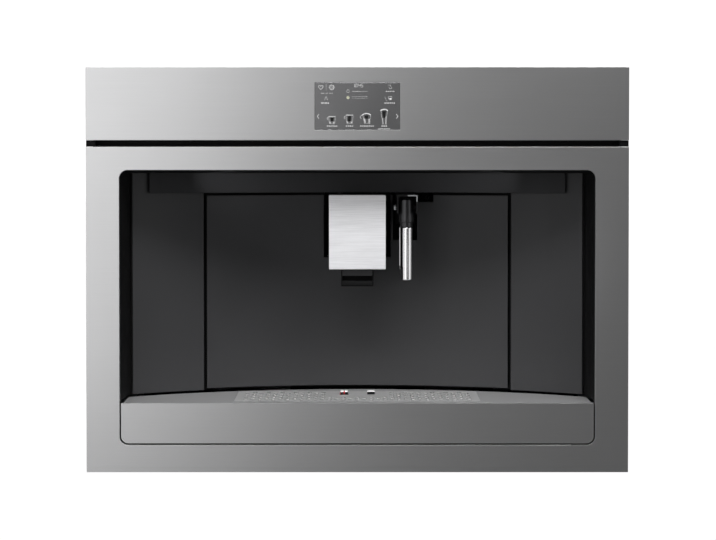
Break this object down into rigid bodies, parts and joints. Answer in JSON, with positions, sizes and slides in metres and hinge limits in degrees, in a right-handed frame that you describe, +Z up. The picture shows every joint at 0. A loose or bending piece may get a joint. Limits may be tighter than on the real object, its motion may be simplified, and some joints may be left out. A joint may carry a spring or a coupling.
{
  "type": "built-in coffee machine",
  "caption": "Built-in coffee machine with steel door front, curved dark niche, sliding coffee spout, tilting wand, touch display and pull-out drip tray.",
  "frame": {"origin": "centre of the bounding box in plan, at the level of the base runners' undersides", "axes": "+X to the right along the front, +Y back into the kitchen niche, +Z up"},
  "size_m": [0.596, 0.475, 0.4475],
  "materials": {
    "brushed_front": "fine brushed, satin",
    "tray_steel": "satin",
    "grid_steel": "bead blasted, bright",
    "spout_metal": "coarse horizontal brushing, polished edges",
    "bright_chrome": "mirror",
    "panel_grey": "satin anthracite",
    "hood_grey": "satin near-black",
    "black_plastic": "fine texture, black",
    "black_paint": "matte black powder coat",
    "zinc_sheet": "galvanised",
    "display_glass": "semi-mirror grey, lit symbols",
    "grey_plastic": "moulded, mid grey",
    "clear_plastic": "clear moulded",
    "smoked_plastic": "smoked clear",
    "white_plastic": "moulded, natural white",
    "red_plastic": "moulded, red",
    "pump_brass": "machined",
    "cast_aluminium": "die cast",
    "tool_steel": "ground",
    "silicone": "milky silicone",
    "circuit_board": "green solder mask"
  },
  "bodies": {
    "machine": {"base_plate": "zinc_sheet", "left_wall": "zinc_sheet", "right_wall": "zinc_sheet", "top_cover": "zinc_sheet", "rear_cover": "zinc_sheet", "front_frame": "black_paint", "control_fascia": "brushed_front", "display_glass": "display_glass", "display_module": "black_plastic", "grip_strip": "black_plastic", "hinge_bracket_lower": "zinc_sheet", "hinge_bracket_upper": "zinc_sheet", "latch": "black_plastic", "centre_panel": "panel_grey", "niche_carrier": "black_plastic", "spout_guide_rod_left": "bright_chrome", "spout_guide_rod_right": "bright_chrome", "wand_bracket": "black_paint", "wand_pin": "zinc_sheet", "milk_hose_port": "grey_plastic", "water_tank": "clear_plastic", "water_tank_lid": "grey_plastic", "bean_hopper": "smoked_plastic", "bean_hopper_lid": "black_plastic", "grinder_housing": "cast_aluminium", "grinder_motor": "zinc_sheet", "brew_unit_frame": "grey_plastic", "brew_cylinder": "black_plastic", "boiler": "cast_aluminium", "pump": "pump_brass", "hose_tank_pump": "silicone", "hose_boiler_brew": "silicone", "power_board": "circuit_board", "fan_housing": "black_plastic", "mains_inlet": "black_plastic"},
    "door": {"door_frame": "brushed_front", "door_liner": "black_plastic", "side_panel_left": "panel_grey", "side_panel_right": "panel_grey", "hood_panel": "hood_grey", "door_bush_lower": "zinc_sheet", "door_bush_upper": "zinc_sheet", "door_strike": "zinc_sheet"},
    "spout": {"spout_front_plate": "spout_metal", "spout_body": "black_plastic", "nozzle_block": "black_plastic", "spout_carriage": "black_plastic"},
    "wand": {"wand_handle": "black_plastic", "wand_tube": "bright_chrome"},
    "tray": {"tray_front_panel": "brushed_front", "drip_tray": "black_plastic", "tray_top": "tray_steel", "grounds_container": "black_plastic"},
    "grid": {"cup_grid": "grid_steel", "grid_lift_tab": "black_plastic"},
    "float": {"tray_float": "red_plastic"},
    "fan": {"fan_rotor": "black_plastic"},
    "burr": {"grinder_burr": "tool_steel"},
    "piston": {"brew_piston": "white_plastic"},
    "spindle": {"brew_spindle": "tool_steel"}
  },
  "joints": [
    {"name": "door_hinge", "type": "hinge", "parent": "machine", "child": "door", "pos_m": [-0.2925, -0.231, 0.18], "axis": [0, 0, -1], "range_deg": [0, 100]},
    {"name": "spout_slide", "type": "slide", "parent": "machine", "child": "spout", "axis": [0, 0, -1], "range_m": [0, 0.05]},
    {"name": "wand_tilt", "type": "hinge", "parent": "machine", "child": "wand", "pos_m": [0.0549, -0.1755, 0.292], "axis": [-1, 0, 0], "range_deg": [0, 40]},
    {"name": "tray_slide", "type": "slide", "parent": "machine", "child": "tray", "axis": [0, -1, 0], "range_m": [0, 0.3]},
    {"name": "grid_lift", "type": "slide", "parent": "tray", "child": "grid", "axis": [0, 0, 1], "range_m": [0, 0.06]},
    {"name": "float_rise", "type": "slide", "parent": "tray", "child": "float", "axis": [0, 0, 1], "range_m": [0, 0.006]},
    {"name": "fan_spin", "type": "hinge", "parent": "machine", "child": "fan", "pos_m": [-0.17, 0.2245, 0.15], "axis": [0, 1, 0], "continuous": true},
    {"name": "burr_spin", "type": "hinge", "parent": "machine", "child": "burr", "pos_m": [-0.166, -0.0225, 0.29], "axis": [0, 0, 1], "continuous": true},
    {"name": "spindle_turn", "type": "hinge", "parent": "machine", "child": "spindle", "pos_m": [0.042, 0.0175, 0.2], "axis": [0, 0, 1], "range_deg": [0, 1800]},
    {"name": "piston_slide", "type": "slide", "parent": "machine", "child": "piston", "axis": [0, 0, -1], "range_m": [0, 0.035]}
  ],
  "couplings": [
    {"joint": "piston_slide", "follows": "spindle_turn", "m_per_rad": 0.001114}
  ]
}
